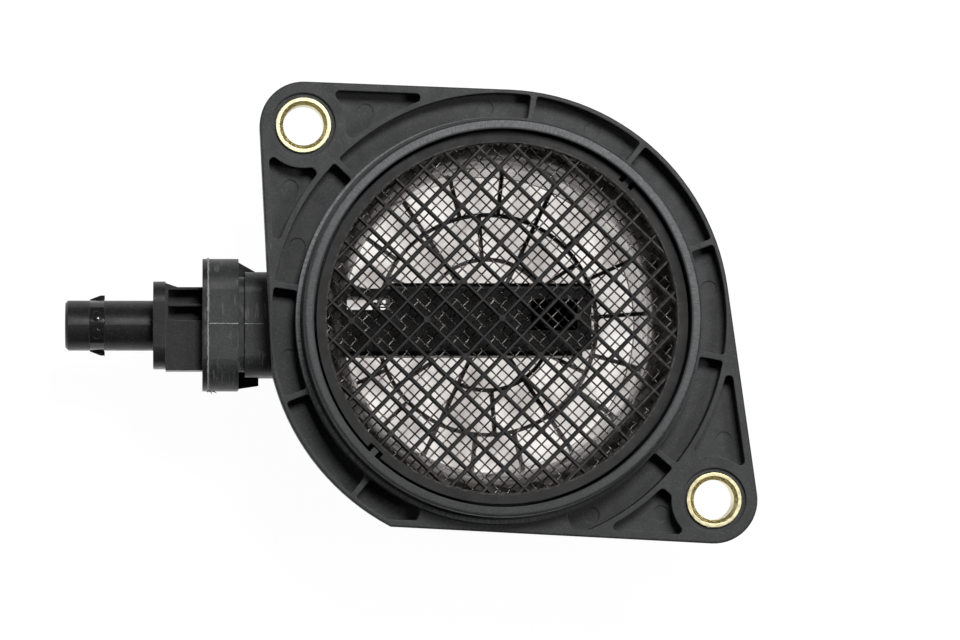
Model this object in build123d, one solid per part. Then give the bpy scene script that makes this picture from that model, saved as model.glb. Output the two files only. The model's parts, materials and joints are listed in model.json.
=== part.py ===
"""Plug-in mass airflow sensor in its own duct section, with a two-ear flange and an inlet grid.

Units are millimetres. The duct's axis is Z and air enters at the top. The origin is the centre
of the outlet's end face. The sensor plugs in from -X and its connector points along -X.
"""
from build123d import *
import os
from math import acos, atan2, cos, degrees, hypot, radians, sin, sqrt

os.makedirs("parts", exist_ok=True)

# ---- Duct -------------------------------------------------------------------------------------
BORE_R = 29.8             # measuring bore, down to the outlet
INLET_R = 33.6            # mouth of the bore, under the screen
BELL_LENGTH = 20.0        # height of the converging stretch
CONE_SLOPE = 2.4          # height of the outer cone for each millimetre that it widens
DUCT_WALL = 3.8
SPIGOT_WALL = 3.0         # thinner than the duct above, which stops the hose
SPIGOT_LENGTH = 16.0      # up to that stop, where the sensor port begins
SPIGOT_LEAD_IN = 0.8      # chamfer that starts the hose

# ---- Lip round the inlet ----------------------------------------------------------------------
LIP_R = 38.2
LIP_WALL = 2.0
LIP_HEIGHT = 8.0          # above the flange's face
LIP_ROUND = 0.7
SHOULDER_STEP = 1.0       # the shoulder round the lip's foot is this much wider
SHOULDER_RISE = 0.9
KEY_ANGLES = (47.4, 226.2)
KEY_WIDTH = 1.3
KEY_DEPTH = 1.5

# ---- Flange -----------------------------------------------------------------------------------
FLANGE_THICKNESS = 9.0
PORT_TO_FLANGE = 3.0      # gap between the sensor port and the flange's underside
EAR_R = 8.4
EARS = {                  # each bushing's distance beyond the rim, and its bearing
    "left": (9.05, 135.7),
    "right": (9.75, -40.4),
}
MOULD_OFFSET = (-0.4, -0.4)  # the channel and shoulder are struck from here, not from the bore
CHANNEL_WIDTH = 4.65      # from the shoulder to the channel's outer wall
RIM_WALL = 0.85           # between the channel and the rim on the side away from the connector
BROAD_RIM_WALL = 0.9      # the same on the connector side
LEFT_TRIM = 0.8           # the straight left edge lies this far inside the broad rim
BOTTOM_TRIM = 4.2         # and the straight bottom edge this far
EDGE_WALL = 1.45          # wall between a pocket and a straight edge
EDGE_ROUND = 0.35
RING_WALL = 1.05          # between the channel and the ear pockets
POCKET_DEPTH = 5.5
CHANNEL_CORNER_R = 0.6
EAR_POCKET_CORNER_R = 0.85
BOSS_R = 8.25             # solid plastic left round a bushing
BOSS_NECK = 9.2           # solid plastic from that boss to the channel's wall
RIB_WIDTH = 1.1
RIB_ANGLES = (81.6, 50.8, 20.1, -10.0, -40.3, -129.9, -159.4, 171.5, 136.3)
LAND_ANGLES = (-112.6, -71.5)  # the channel is filled between these
EJECTOR_R = 1.55
EJECTOR_DEPTH = 0.15
EJECTOR_MARKS = (         # radius and angle of each ejector-pin mark
    (47.7, 123.1), (47.8, 148.1), (40.8, 94.0), (40.6, 63.9), (40.9, 8.2), (41.6, 160.3),
    (41.4, -169.6), (41.6, -119.6), (41.8, -65.0), (48.8, -50.4), (49.2, -28.3),
)

# ---- Bushings ---------------------------------------------------------------------------------
BUSHING_R = 5.3
BUSHING_BORE_R = 3.9
BUSHING_LEAD_IN = 0.7
BUSHING_RECESS_R = 6.2
BUSHING_RECESS_DEPTH = 0.9
PRESS_GAP = 0.05          # radial gap drawn between a pressed or snapped piece and its seat

# ---- Inlet grid and screen --------------------------------------------------------------------
GRID_DROP = 3.0           # the grid lies this far below the lip's crest
GRID_FRAME_HEIGHT = 5.0
GRID_FRAME_WIDTH = 2.0
GRID_GAP = 0.55           # ring gap between the grid's frame and the lip
GRID_PITCH = 5.11         # between parallel bars
GRID_TURN = 46.1          # direction of the first set of bars, from +X
BAR_TOP = 0.36
BAR_BASE = 0.85
BAR_HEIGHT = 3.0
BAR_DROP = 0.55           # the bars' tops lie this far below the frame's
KNOT_R = 0.65             # eight-sided pads on every second crossing
KNOT_SIDES = 8
KNOT_RISE = 0.1
NOTCH_WIDTH = 3.2
SCREEN_THICKNESS = 0.6
SCREEN_CORD = 1.2         # strip between two gaps of the screen
SCREEN_PITCH = 6.2

# ---- Outlet grid ------------------------------------------------------------------------------
OUTLET_SEAT_DEPTH = 6.0
OUTLET_FRAME_WIDTH = 1.4  # the outlet seat is this much wider than the bore
OUTLET_FRAME_HEIGHT = 4.0
OUTLET_BAR = 0.8
OUTLET_BAR_HEIGHT = 3.0
OUTLET_RINGS = (4.6, 13.2, 22.2)  # radii of the rings
OUTLET_SPOKES = (6, 12, 18)       # spokes from each ring out to the next, or to the frame
OUTLET_TURN = 4.2

# ---- Sensor port ------------------------------------------------------------------------------
PORT_Y = -0.85            # centre line of the port
PORT_FACE = 56.3          # distance of the port's face from the duct's axis
PORT_PAD = (25.6, 36.0)   # width across the flow and height along it
PORT_PAD_THICKNESS = 5.9
PORT_PAD_R = 6.0
PORT_OPENING = (16.6, 31.0)
PORT_OPENING_R = 2.5
NECK = (20.4, 35.0)
NECK_R = 4.0
NECK_GROOVE = 1.2         # width of the groove behind the pad
NECK_GROOVE_DEPTH = 1.0
WEB_THICKNESS = 4.0
WEB_LENGTH = 4.0
WEB_SLOPE = 0.6
GUSSET_THICKNESS = 2.0
GUSSET_ANGLES = (-70.0, -110.0, -15.0, 30.0, 65.0, 100.0)

# ---- Sensor body ------------------------------------------------------------------------------
PLUG_GAP = 0.2            # all round the plug in its port
PLATE_THICKNESS = 1.1
PLUG_LENGTH = 9.0
SEAL_FROM_FACE = 3.0
SEAL_WIDTH = 2.4
SEAL_DEPTH = 1.2
PROBE_TIP = 18.4          # the probe ends this far past the duct's axis
PROBE = (14.2, 29.0)
PROBE_R = 1.0
PROBE_Y = 1.0             # the probe's centre line lies this far above the port's
TIP_CUT = (3.9, 1.3)
WINDOW = (8.4, 2.6)       # air-temperature window right through the probe
WINDOW_FROM_AXIS = 29.3
WINDOW_Y = 4.15           # from the port's centre line
BRIDGE_CUT = 1.1
BLOCK_LENGTH = 7.2
BLOCK = (16.2, 24.0)
BLOCK_Y = -0.8
BLOCK_WALL = 0.5
BAY_COUNT = 2
BAY_WIDTH = 2.75
BAY_DEPTH = 5.0
STAY_LENGTH = 2.4
COLLAR_THICKNESS = 2.4
COLLAR = (16.9, 27.0)
COLLAR_R = 4.0
TUBE_LENGTH = 17.2
TUBE = (9.7, 17.0)
TUBE_WALL = 1.3
TUBE_LEAD_IN = 0.5
SOCKET_DEPTH = 14.0
LATCH_FROM_END = 4.7
LATCH_WIDTH = 3.0
LATCH_THICKNESS = 0.5
LATCH_RISE = 1.05
LATCH_BARB = 0.8
LATCH_TAB = 4.6
PIN_COUNT = 5
PIN_PITCH = 2.5
PIN_SIZE = 0.8
PIN_SHORT = 5.5           # the pins end this far inside the socket's mouth

# ---- Inside the probe -------------------------------------------------------------------------
CHAMBER = (32.0, 23.0, 7.0)   # electronics chamber, along the probe, along the flow, deep
CHAMBER_FROM_PLUG = 2.5
CHANNEL_BOX = (25.0, 23.0, 11.0)  # bypass channel
CHANNEL_FROM_TIP = 2.8
COVER_LEDGE = 1.2
COVER_THICKNESS = 1.2
COVER_GAP = 0.1
INTAKE = (9.0, 6.0)       # mouth of the bypass channel
DIVIDER_R = 5.5
DIVIDER_WALL = 1.2
CARRIER_THICKNESS = 1.0
BOARD_THICKNESS = 0.8
INNER_MARGIN = 1.0        # round the carrier in its chamber
BOARD_MARGIN = 1.0        # round the board on its carrier
TONGUE = (9.0, 3.4)       # carrier's tongue that reaches into the bypass channel
CHIP = (3.0, 2.4, 0.5)
PROCESSOR = (7.0, 7.0, 1.2)
BEAD_R = 0.7
LEAD_R = 0.15
LEAD_LENGTH = 2.4

# ---- Derived heights and places ---------------------------------------------------------------
SENSOR_Z = SPIGOT_LENGTH + PORT_PAD[1] / 2
FLANGE_BASE = SPIGOT_LENGTH + PORT_PAD[1] + PORT_TO_FLANGE
FLANGE_FACE = FLANGE_BASE + FLANGE_THICKNESS
POCKET_FLOOR = FLANGE_FACE - POCKET_DEPTH
CREST = FLANGE_FACE + LIP_HEIGHT
GRID_TOP = CREST - GRID_DROP
GRID_BASE = GRID_TOP - GRID_FRAME_HEIGHT
SEAT_Z = GRID_BASE - SCREEN_THICKNESS
LIP_BORE_R = LIP_R - LIP_WALL
GRID_R = LIP_BORE_R - GRID_GAP
DUCT_R = BORE_R + DUCT_WALL
SPIGOT_R = BORE_R + SPIGOT_WALL
SHOULDER_R = LIP_R + SHOULDER_STEP
CHANNEL_R = SHOULDER_R + CHANNEL_WIDTH
WEB_R = CHANNEL_R + RING_WALL
FLANGE_R = CHANNEL_R - hypot(*MOULD_OFFSET) + RIM_WALL
FLANGE_BROAD_R = CHANNEL_R + hypot(*MOULD_OFFSET) + BROAD_RIM_WALL
LEFT_FLAT = FLANGE_BROAD_R - LEFT_TRIM
BOTTOM_FLAT = FLANGE_BROAD_R - BOTTOM_TRIM
PLATE_X = -PORT_FACE - PLATE_THICKNESS
PLUG_X = -PORT_FACE + PLUG_LENGTH
BLOCK_X = PLATE_X - BLOCK_LENGTH
COLLAR_X = BLOCK_X - COLLAR_THICKNESS
TUBE_X = COLLAR_X - TUBE_LENGTH
PROBE_LOW = PORT_Y + PROBE_Y - PROBE[0] / 2
PROBE_HIGH = PORT_Y + PROBE_Y + PROBE[0] / 2
CHAMBER_X = PLUG_X + CHAMBER_FROM_PLUG
CHANNEL_X = PROBE_TIP - CHANNEL_FROM_TIP - CHANNEL_BOX[0]
CHAMBER_FLOOR = PROBE_LOW + CHAMBER[2]
CARRIER_Y = CHAMBER_FLOOR - CARRIER_THICKNESS
BOARD_Y = CARRIER_Y - BOARD_THICKNESS
REACH = 2.2 * FLANGE_BROAD_R  # longer than anything that a cutting shape has to cross


def unit(angle):
    return Vector(cos(radians(angle)), sin(radians(angle)))


def polar(radius, angle):
    return unit(angle) * radius


# ---- Flange -----------------------------------------------------------------------------------
EAR_PLACES = {name: polar(FLANGE_R + beyond, bearing) for name, (beyond, bearing) in EARS.items()}


def edge_normal(ear, distance, side):
    """Bearing of the straight edge that touches an ear and passes the axis at a distance."""
    beyond, bearing = EARS[ear]
    spread = degrees(acos((distance - EAR_R) / (FLANGE_R + beyond)))
    return bearing + side * spread


TOP_NORMAL = edge_normal("left", FLANGE_R, -1)
LEFT_NORMAL = edge_normal("left", LEFT_FLAT, 1)
RIGHT_NORMAL = edge_normal("right", FLANGE_R, 1)
BOTTOM_NORMAL = edge_normal("right", BOTTOM_FLAT, -1)


def flange_outline():
    """Outline of the flange: two ears, two rim arcs and the straight edges that join them."""
    left, right = EAR_PLACES["left"], EAR_PLACES["right"]
    left_half = sqrt(FLANGE_BROAD_R ** 2 - LEFT_FLAT ** 2)
    bottom_half = sqrt(FLANGE_BROAD_R ** 2 - BOTTOM_FLAT ** 2)
    left_end = polar(LEFT_FLAT, LEFT_NORMAL) + polar(left_half, LEFT_NORMAL + 90)
    corner = polar(BOTTOM_FLAT, BOTTOM_NORMAL) + polar(bottom_half, BOTTOM_NORMAL - 90)
    start = degrees(atan2(left_end.Y, left_end.X)) % 360
    sweep = degrees(atan2(corner.Y, corner.X)) % 360 - start
    edges = [
        CenterArc((0, 0), FLANGE_R, RIGHT_NORMAL, TOP_NORMAL - RIGHT_NORMAL),
        Line(polar(FLANGE_R, TOP_NORMAL), left + polar(EAR_R, TOP_NORMAL)),
        CenterArc(left, EAR_R, TOP_NORMAL, LEFT_NORMAL - TOP_NORMAL),
        Line(left + polar(EAR_R, LEFT_NORMAL), left_end),
        CenterArc((0, 0), FLANGE_BROAD_R, start, sweep),
        Line(corner, right + polar(EAR_R, BOTTOM_NORMAL)),
        CenterArc(right, EAR_R, BOTTOM_NORMAL, RIGHT_NORMAL - BOTTOM_NORMAL),
        Line(right + polar(EAR_R, RIGHT_NORMAL), polar(FLANGE_R, RIGHT_NORMAL)),
    ]
    return make_face(Curve() + edges)


def inside_edge(normal, distance):
    """Half plane on the axis's side of a line at a distance from the axis."""
    return Rot(0, 0, normal) * Pos(distance - REACH, 0) * Rectangle(2 * REACH, 4 * REACH)


def channel_sketch():
    """Ring channel between shoulder and rim, cut by the ribs, the bottom edge's wall and the land."""
    ring = Pos(*MOULD_OFFSET) * (Circle(CHANNEL_R) - Circle(SHOULDER_R))
    ring = ring & inside_edge(BOTTOM_NORMAL, BOTTOM_FLAT - EDGE_WALL)
    middle = sum(LAND_ANGLES) / 2
    corners = [(0, 0), polar(REACH, LAND_ANGLES[0]), polar(REACH, middle), polar(REACH, LAND_ANGLES[1])]
    ring -= make_face(Polyline(*corners, close=True))
    for angle in RIB_ANGLES:
        ring -= Rot(0, 0, angle) * Pos(REACH / 2, 0) * Rectangle(REACH, RIB_WIDTH)
    return ring


def ear_pocket_sketch():
    """Three-cornered pockets beside each bushing, between its boss and the ring wall."""
    walls = (
        (TOP_NORMAL, FLANGE_R), (LEFT_NORMAL, LEFT_FLAT),
        (RIGHT_NORMAL, FLANGE_R), (BOTTOM_NORMAL, BOTTOM_FLAT),
    )
    area = Circle(REACH)
    for normal, distance in walls:
        area = area & inside_edge(normal, distance - EDGE_WALL)
    area -= Pos(*MOULD_OFFSET) * Circle(WEB_R)
    pockets = Sketch()
    for name, (beyond, bearing) in EARS.items():
        near = Pos(EAR_PLACES[name]) * (Circle(FLANGE_R) - Circle(BOSS_R))
        neck = Rot(0, 0, bearing) * Pos(REACH / 2, 0) * Rectangle(REACH, BOSS_NECK)
        pockets += (area & near) - neck
    return pockets


def bushing_places():
    return [Pos(0, 0, FLANGE_BASE) * Pos(place) for place in EAR_PLACES.values()]


def revolved(*edges):
    """Solid turned round the duct's axis from a closed half section."""
    return revolve(Plane.XZ * make_face(Curve() + list(edges)), Axis.Z)


def duct_outside():
    """Duct and lip as a full body: spigot, hose stop, cone under the flange, rounded lip."""
    cone_foot = FLANGE_BASE - (INLET_R - BORE_R) * CONE_SLOPE
    spigot = Polyline(
        (0, 0), (SPIGOT_R - SPIGOT_LEAD_IN, 0), (SPIGOT_R, SPIGOT_LEAD_IN),
        (SPIGOT_R, SPIGOT_LENGTH), (DUCT_R, SPIGOT_LENGTH),
    )
    duct = Polyline(
        (DUCT_R, SPIGOT_LENGTH), (DUCT_R, cone_foot), (INLET_R + DUCT_WALL, FLANGE_BASE),
        (LIP_R, POCKET_FLOOR), (LIP_R, CREST - LIP_ROUND),
    )
    crest = RadiusArc((LIP_R, CREST - LIP_ROUND), (LIP_R - LIP_ROUND, CREST), -LIP_ROUND)
    top = Polyline((LIP_R - LIP_ROUND, CREST), (0, CREST), (0, 0))
    return revolved(spigot, duct, crest, top)


def duct_cavity():
    """Air passage: outlet seat, bore, bell mouth, screen seat, and the lip's inside."""
    bell_top = SEAT_Z - LIP_WALL
    bell_foot = bell_top - BELL_LENGTH
    seat_r = BORE_R + OUTLET_FRAME_WIDTH
    above = CREST + LIP_HEIGHT
    below = -OUTLET_SEAT_DEPTH
    foot = Polyline(
        (0, above), (0, below), (seat_r, below), (seat_r, OUTLET_SEAT_DEPTH), (BORE_R, OUTLET_SEAT_DEPTH),
        (BORE_R, bell_foot),
    )
    bell = TangentArc((BORE_R, bell_foot), (INLET_R, bell_top), tangent=(0, 1))
    mouth = Polyline(
        (INLET_R, bell_top), (INLET_R, SEAT_Z), (LIP_BORE_R, SEAT_Z), (LIP_BORE_R, above), (0, above),
    )
    return revolved(foot, bell, mouth)


def port_plane(x, y=PORT_Y):
    """Plane across the sensor's axis: its x is +Y and its y is +Z."""
    return Plane(origin=(x, y, SENSOR_Z), x_dir=(0, 1, 0), z_dir=(1, 0, 0))


def along(x_start, x_end, section, y=PORT_Y):
    """A section of the sensor carried along X from one place to another."""
    return extrude(port_plane(x_start, y) * section, x_end - x_start)


def port_outside():
    """Pad and neck that carry the plug-in sensor, with the groove and webs behind the pad."""
    pad_back = -PORT_FACE + PORT_PAD_THICKNESS
    pad = along(-PORT_FACE, pad_back, RectangleRounded(*PORT_PAD, PORT_PAD_R))
    slim = [side - 2 * NECK_GROOVE_DEPTH for side in NECK]
    groove = along(pad_back, pad_back + NECK_GROOVE, RectangleRounded(*slim, NECK_R - NECK_GROOVE_DEPTH))
    neck = along(pad_back + NECK_GROOVE, -BORE_R / 2, RectangleRounded(*NECK, NECK_R))
    upper = PORT_Y + PORT_PAD[0] / 2 - EDGE_ROUND
    lower = PORT_Y - PORT_PAD[0] / 2 + EDGE_ROUND
    web_outline = make_face(Polyline(
        (pad_back, upper), (pad_back + WEB_LENGTH, PORT_Y + NECK[0] / 2),
        (pad_back + WEB_LENGTH, lower + WEB_SLOPE), (pad_back, lower), close=True,
    ))
    web = Pos(0, 0, SENSOR_Z - WEB_THICKNESS / 2) * extrude(web_outline, WEB_THICKNESS)
    return pad + groove + neck + web


def gusset(angle):
    """Triangular stay between the duct and the flange's underside."""
    foot = FLANGE_BASE - PORT_PAD[1] / 3
    side = make_face(Polyline(
        (BORE_R + DUCT_WALL / 2, foot), (DUCT_R, foot), (FLANGE_R - EDGE_WALL, FLANGE_BASE + EDGE_WALL),
        (BORE_R + DUCT_WALL / 2, FLANGE_BASE + EDGE_WALL), close=True,
    ))
    stay = extrude(Plane.XZ * side, GUSSET_THICKNESS / 2, both=True)
    return Rot(0, 0, angle) * stay


def upright(radius, height):
    """Cylinder that stands on its base."""
    return Cylinder(radius, height, align=(Align.CENTER, Align.CENTER, Align.MIN))


def grid_keys():
    """Two nubs inside the lip that locate the grid's frame."""
    depth = KEY_DEPTH + LIP_WALL / 2
    key = Pos(LIP_BORE_R - KEY_DEPTH, 0, SEAT_Z - LIP_WALL) * Box(
        depth, KEY_WIDTH, GRID_FRAME_HEIGHT + LIP_WALL, align=(Align.MIN, Align.CENTER, Align.MIN))
    return [Rot(0, 0, angle) * key for angle in KEY_ANGLES]


def flange():
    """Flange with its shoulder, pockets, ejector marks and bushing holes."""
    body = extrude(flange_outline(), FLANGE_THICKNESS)
    body = fillet(body.faces().sort_by(Axis.Z)[-1].edges(), EDGE_ROUND)
    body += Pos(*MOULD_OFFSET) * upright(SHOULDER_R, FLANGE_THICKNESS + SHOULDER_RISE)
    floor = FLANGE_THICKNESS - POCKET_DEPTH
    channel = fillet(channel_sketch().vertices(), CHANNEL_CORNER_R)
    ear_pockets = fillet(ear_pocket_sketch().vertices(), EAR_POCKET_CORNER_R)
    body -= Pos(0, 0, floor) * extrude(channel + ear_pockets, POCKET_DEPTH)
    for radius, angle in EJECTOR_MARKS:
        mark = Pos(*polar(radius, angle)) * Circle(EJECTOR_R)
        body -= Pos(0, 0, floor - EJECTOR_DEPTH) * extrude(mark, 2 * EJECTOR_DEPTH)
    recess = upright(BUSHING_RECESS_R, BUSHING_RECESS_DEPTH)
    for place in EAR_PLACES.values():
        body -= Pos(place) * upright(BUSHING_R + PRESS_GAP, FLANGE_THICKNESS)
        body -= Pos(0, 0, FLANGE_THICKNESS - BUSHING_RECESS_DEPTH) * Pos(place) * recess
    return Pos(0, 0, FLANGE_BASE) * body


def housing():
    """One moulding: duct, flange with its ribs and pockets, lip, and sensor port."""
    body = flange() + duct_outside() + port_outside()
    body += [gusset(angle) for angle in GUSSET_ANGLES]
    body -= duct_cavity()
    body -= along(-PORT_FACE, -BORE_R / 2, RectangleRounded(*PORT_OPENING, PORT_OPENING_R))
    return body + grid_keys()


def bushing(place):
    """Steel compression sleeve with a lead-in at both ends."""
    sleeve = upright(BUSHING_R, FLANGE_THICKNESS)
    sleeve -= Cylinder(BUSHING_BORE_R, 3 * FLANGE_THICKNESS)
    inner = sleeve.edges().filter_by(GeomType.CIRCLE).filter_by(lambda edge: edge.radius < BUSHING_R)
    sleeve = chamfer(inner, BUSHING_LEAD_IN)
    return place * sleeve


# ---- Grids and screen -------------------------------------------------------------------------
def bar_positions(radius, pitch):
    """Signed distances of parallel bars from the centre, one bar through the centre."""
    count = int(radius / pitch)
    return [index * pitch for index in range(-count, count + 1)]


def tapered_bar(length, top, base, height):
    """Straight bar along Y with sloping sides, wide at the foot."""
    section = make_face(Polyline(
        (-base / 2, 0), (base / 2, 0), (top / 2, height), (-top / 2, height), close=True,
    ))
    return extrude(Plane.XZ * section, length / 2, both=True)


def lattice(radius, pitch):
    """Two crossing sets of bars with a pad on every second crossing, cut to a disc."""
    bar = tapered_bar(2 * radius, BAR_TOP, BAR_BASE, BAR_HEIGHT)
    one_way = [Pos(x, 0, 0) * bar for x in bar_positions(radius, pitch)]
    other_way = [Rot(0, 0, 90) * piece for piece in one_way]
    places = bar_positions(radius, 2 * pitch)
    pad = extrude(RegularPolygon(KNOT_R, KNOT_SIDES), BAR_HEIGHT + KNOT_RISE)
    pads = [Pos(x, y) * pad for x in places for y in places if hypot(x, y) < radius - pitch / 2]
    return one_way[0].fuse(*one_way[1:], *other_way, *pads) & upright(radius, 2 * BAR_HEIGHT)


def inlet_grid():
    """Snap-in grille: a notched frame ring and a diamond lattice with pads on its crossings."""
    inner_r = GRID_R - GRID_FRAME_WIDTH
    frame = upright(GRID_R, GRID_FRAME_HEIGHT) - upright(inner_r, GRID_FRAME_HEIGHT)
    notch = Pos(GRID_R, 0, 0) * Box(GRID_FRAME_WIDTH, NOTCH_WIDTH, 2 * GRID_FRAME_HEIGHT)
    for angle in KEY_ANGLES:
        frame -= Rot(0, 0, angle) * notch
    bars = lattice(inner_r + GRID_FRAME_WIDTH / 2, GRID_PITCH)
    lift = GRID_FRAME_HEIGHT - BAR_HEIGHT - BAR_DROP
    return Pos(0, 0, GRID_BASE) * (frame + Pos(0, 0, lift) * Rot(0, 0, GRID_TURN) * bars)


def inlet_screen():
    """Wire screen clamped under the grid's frame, drawn as a sheet with square gaps."""
    outer_r = LIP_BORE_R - KEY_DEPTH - PRESS_GAP
    sheet = Circle(outer_r)
    gap = SCREEN_PITCH - SCREEN_CORD
    places = bar_positions(INLET_R, SCREEN_PITCH)
    for x in places:
        for y in places:
            if hypot(abs(x) + gap / 2, abs(y) + gap / 2) < INLET_R:
                sheet -= Pos(x, y) * Rectangle(gap, gap)
    return Pos(0, 0, SEAT_Z) * Rot(0, 0, GRID_TURN) * extrude(sheet, SCREEN_THICKNESS)


def hoop(radius, width, height):
    """Flat ring, centred on a radius."""
    return upright(radius + width / 2, height) - upright(radius - width / 2, height)


def outlet_grid():
    """Guard of rings and staggered spokes, snapped into its seat from below."""
    outer_r = BORE_R + OUTLET_FRAME_WIDTH - PRESS_GAP
    grid = upright(outer_r, OUTLET_FRAME_HEIGHT) - upright(BORE_R, OUTLET_FRAME_HEIGHT)
    grid += [hoop(radius, OUTLET_BAR, OUTLET_BAR_HEIGHT) for radius in OUTLET_RINGS]
    ends = OUTLET_RINGS[1:] + (BORE_R + OUTLET_FRAME_WIDTH / 2,)
    for start, end, count in zip(OUTLET_RINGS, ends, OUTLET_SPOKES):
        spoke = Pos(start, 0, 0) * Box(
            end - start, OUTLET_BAR, OUTLET_BAR_HEIGHT, align=(Align.MIN, Align.CENTER, Align.MIN))
        grid += [Rot(0, 0, OUTLET_TURN + index * 360 / count) * spoke for index in range(count)]
    return Pos(0, 0, OUTLET_SEAT_DEPTH - OUTLET_FRAME_HEIGHT) * grid


# ---- Sensor body ------------------------------------------------------------------------------
def box_between(low, high):
    """Box between two corners."""
    size = [b - a for a, b in zip(low, high)]
    return Pos(*low) * Box(*size, align=(Align.MIN, Align.MIN, Align.MIN))


def slab(x_start, length, height, y_low, thickness, margin=0.0):
    """Flat piece inside the probe, centred on the port's height, with a margin all round."""
    low = (x_start + margin, y_low, SENSOR_Z - height / 2 + margin)
    high = (x_start + length - margin, y_low + thickness, SENSOR_Z + height / 2 - margin)
    return box_between(low, high)


def plug():
    """Root of the probe, a loose fit in the port, with the seal's groove."""
    size = [side - 2 * PLUG_GAP for side in PORT_OPENING]
    body = along(-PORT_FACE, PLUG_X, RectangleRounded(*size, PORT_OPENING_R - PLUG_GAP))
    return body - seal_ring(size, 0.0)


def seal_ring(size, proud):
    """Ring that fills the plug's groove and stands proud of it."""
    start = -PORT_FACE + SEAL_FROM_FACE
    outer = [side + 2 * proud for side in size]
    inner = [side - 2 * SEAL_DEPTH for side in size]
    corner = PORT_OPENING_R - PLUG_GAP
    ring = along(start, start + SEAL_WIDTH, RectangleRounded(*outer, corner + proud))
    return ring - along(start, start + SEAL_WIDTH, RectangleRounded(*inner, corner - SEAL_DEPTH))


def port_seal():
    """Rubber seal round the plug."""
    size = [side - 2 * PLUG_GAP for side in PORT_OPENING]
    return seal_ring(size, PLUG_GAP - PRESS_GAP)


def probe():
    """Arm that carries the electronics and the bypass channel across the duct."""
    arm = along(PLUG_X, PROBE_TIP, RectangleRounded(*PROBE, PROBE_R), PORT_Y + PROBE_Y)
    low = (PROBE_TIP - TIP_CUT[0], PROBE_LOW, SENSOR_Z - PROBE[1])
    arm -= box_between(low, (PROBE_TIP, PROBE_LOW + TIP_CUT[1], SENSOR_Z + PROBE[1]))
    window_y = PORT_Y + WINDOW_Y - WINDOW[1] / 2
    through = (SENSOR_Z - PROBE[1], SENSOR_Z + PROBE[1])
    arm -= box_between(
        (-WINDOW_FROM_AXIS, window_y, through[0]),
        (-WINDOW_FROM_AXIS + WINDOW[0], window_y + WINDOW[1], through[1]))
    arm -= box_between(
        (-WINDOW_FROM_AXIS, PROBE_HIGH - BRIDGE_CUT, through[0]),
        (-WINDOW_FROM_AXIS + WINDOW[0], PROBE_HIGH, through[1]))
    return arm


def divider():
    """Curved wall that turns the air round inside the bypass channel."""
    centre_x = CHANNEL_X + CHANNEL_BOX[0] / 2
    arc = Circle(DIVIDER_R) - Circle(DIVIDER_R - DIVIDER_WALL)
    arc -= Pos(-DIVIDER_R, 0) * Rectangle(2 * DIVIDER_R, 4 * DIVIDER_R)
    wall_plane = Plane(origin=(centre_x, PROBE_LOW + COVER_THICKNESS, SENSOR_Z), x_dir=(1, 0, 0), z_dir=(0, 1, 0))
    return extrude(wall_plane * arc, CHANNEL_BOX[2] - COVER_THICKNESS)


def probe_hollows():
    """Electronics chamber and bypass channel, open at the covers, and the channel's two mouths."""
    chamber = slab(CHAMBER_X, CHAMBER[0], CHAMBER[1], PROBE_LOW, CHAMBER[2])
    channel = slab(CHANNEL_X, CHANNEL_BOX[0], CHANNEL_BOX[1], PROBE_LOW, CHANNEL_BOX[2])
    ledges = [cover_slab(CHAMBER_X, CHAMBER, 0.0), cover_slab(CHANNEL_X, CHANNEL_BOX, 0.0)]
    tongue_slot = slab(
        CHAMBER_X + CHAMBER[0] - PRESS_GAP, CHANNEL_X - CHAMBER_X - CHAMBER[0] + 2 * PRESS_GAP,
        TONGUE[1] + 2 * COVER_GAP, CARRIER_Y - COVER_GAP, CARRIER_THICKNESS + 2 * COVER_GAP)
    mouth_y = PROBE_LOW + CHANNEL_BOX[2] - INTAKE[1]
    mouth_in = box_between(
        (CHANNEL_X + CHANNEL_BOX[0] - INTAKE[0], mouth_y, SENSOR_Z),
        (CHANNEL_X + CHANNEL_BOX[0], mouth_y + INTAKE[1], SENSOR_Z + PROBE[1]))
    mouth_out = box_between(
        (CHANNEL_X, mouth_y, SENSOR_Z - PROBE[1]), (CHANNEL_X + INTAKE[0], mouth_y + INTAKE[1], SENSOR_Z))
    return chamber + channel + ledges[0] + ledges[1] + tongue_slot + mouth_in + mouth_out


def cover_slab(x_start, hollow, gap):
    """Cover over a hollow, seated on a ledge all round."""
    return slab(
        x_start - COVER_LEDGE, hollow[0] + 2 * COVER_LEDGE, hollow[1] + 2 * COVER_LEDGE,
        PROBE_LOW, COVER_THICKNESS, gap)


def rib_block():
    """Block between collar and plate, with stays at the collar and two bays above and below."""
    y = PORT_Y + BLOCK_Y
    block = along(BLOCK_X, PLATE_X, Rectangle(*BLOCK), y)
    stay = make_face(Polyline(
        (BLOCK_X, y), (BLOCK_X, PORT_Y + COLLAR[0] / 2 - EDGE_ROUND), (BLOCK_X + STAY_LENGTH, y + BLOCK[0] / 2),
        (BLOCK_X + STAY_LENGTH, y), close=True,
    ))
    block += Pos(0, 0, SENSOR_Z - BLOCK[1] / 2) * extrude(stay, BLOCK[1])
    for count in range(BAY_COUNT):
        high = y + BLOCK[0] / 2 - BLOCK_WALL - count * (BAY_WIDTH + BLOCK_WALL)
        for base in (SENSOR_Z + BLOCK[1] / 2 - BAY_DEPTH, SENSOR_Z - BLOCK[1] / 2):
            block -= box_between(
                (BLOCK_X + BLOCK_WALL, high - BAY_WIDTH, base), (PLATE_X, high, base + BAY_DEPTH))
    return block


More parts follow.
